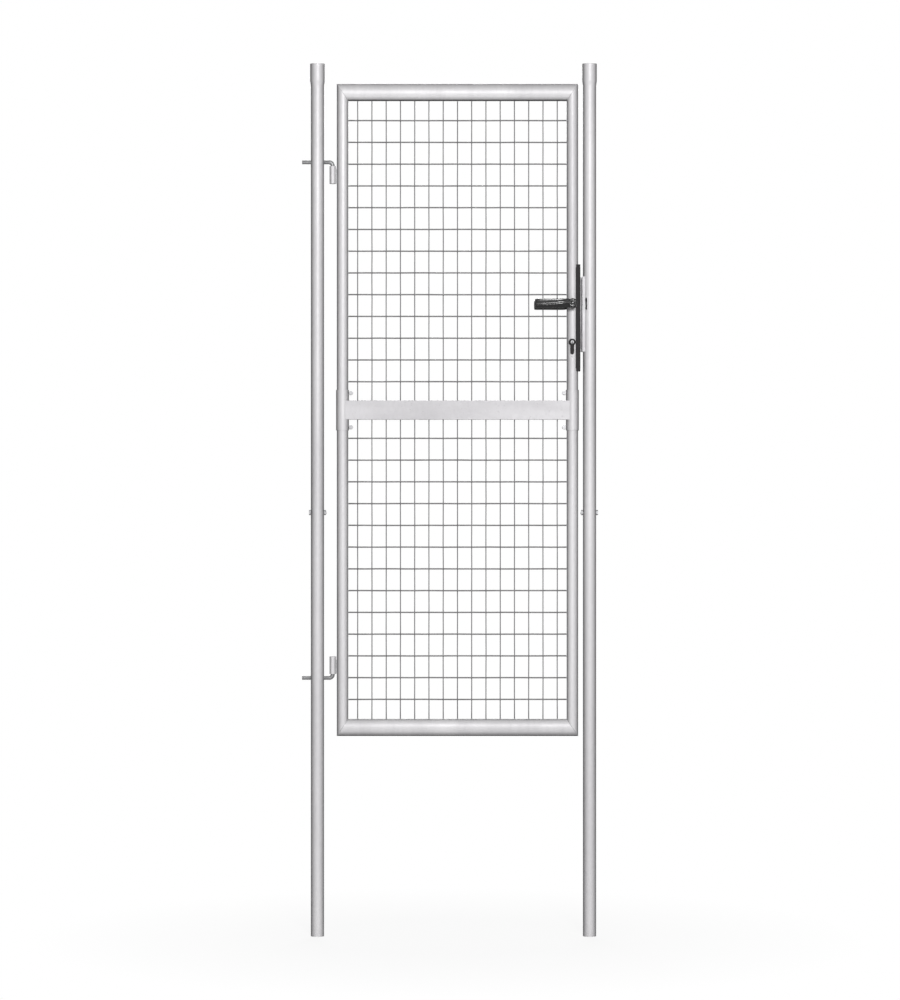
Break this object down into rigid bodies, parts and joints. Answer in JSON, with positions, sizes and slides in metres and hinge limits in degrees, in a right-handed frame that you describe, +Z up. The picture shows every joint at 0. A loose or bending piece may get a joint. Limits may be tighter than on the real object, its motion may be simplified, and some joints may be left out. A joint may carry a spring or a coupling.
{
  "type": "steel garden gate",
  "caption": "Galvanised steel garden gate: a welded-mesh leaf in a tube frame, hung between two tube posts, with a lock and lever handles.",
  "frame": {"origin": "centre of the hinge post's foot, at the bottom of the tube", "axes": "+Z up along the posts, +X from the hinge post to the latch post, the gate's front faces -Y"},
  "size_m": [0.8483, 0.114, 2.5],
  "materials": {
    "galvanised_steel": "satin",
    "zinc_fasteners": "satin",
    "lock_steel": "satin",
    "nickel_steel": "satin",
    "black_coated_metal": "satin",
    "black_plastic": "gloss"
  },
  "bodies": {
    "posts": {"hinge_post_lower": "galvanised_steel", "hinge_post_upper": "galvanised_steel", "latch_post_lower": "galvanised_steel", "latch_post_upper": "galvanised_steel", "hinge_post_bolt": "zinc_fasteners", "hinge_post_nut": "zinc_fasteners", "latch_post_bolt": "zinc_fasteners", "latch_post_nut": "zinc_fasteners", "upper_hinge_rod": "galvanised_steel", "lower_hinge_rod": "galvanised_steel", "keeper_plate": "galvanised_steel", "keeper_screws": "zinc_fasteners"},
    "leaf": {"top_rail": "galvanised_steel", "bottom_rail": "galvanised_steel", "hinge_stile_upper": "galvanised_steel", "hinge_stile_lower": "galvanised_steel", "latch_stile_upper": "galvanised_steel", "latch_stile_lower": "galvanised_steel", "upper_mesh": "galvanised_steel", "lower_mesh": "galvanised_steel", "band_front": "galvanised_steel", "band_back": "galvanised_steel", "hinge_collar_front": "galvanised_steel", "hinge_collar_back": "galvanised_steel", "latch_collar_front": "galvanised_steel", "latch_collar_back": "galvanised_steel", "hinge_collar_bolts": "zinc_fasteners", "latch_collar_bolts": "zinc_fasteners", "upper_hinge_eye": "galvanised_steel", "lower_hinge_eye": "galvanised_steel", "lock_case": "lock_steel", "lock_forend": "black_coated_metal", "latch_bolt": "nickel_steel", "dead_bolt": "nickel_steel", "cylinder_rim_front": "black_plastic", "cylinder_rim_back": "black_plastic", "lock_cylinder": "black_coated_metal", "handle_rose_front": "black_plastic", "handle_rose_back": "black_plastic"},
    "handle": {"lever_front": "black_plastic", "lever_back": "black_plastic", "spindle": "nickel_steel"}
  },
  "joints": [
    {"name": "leaf_swing", "type": "hinge", "parent": "posts", "child": "leaf", "pos_m": [0.0437, 0, 1.479], "axis": [0, 0, -1], "range_deg": [0, 105]},
    {"name": "handle_turn", "type": "hinge", "parent": "leaf", "child": "handle", "pos_m": [0.7298, 0, 1.812], "axis": [0, -1, 0], "range_deg": [0, 35], "stiffness_Nm_per_rad": 1.5, "springref_deg": -34.38}
  ]
}
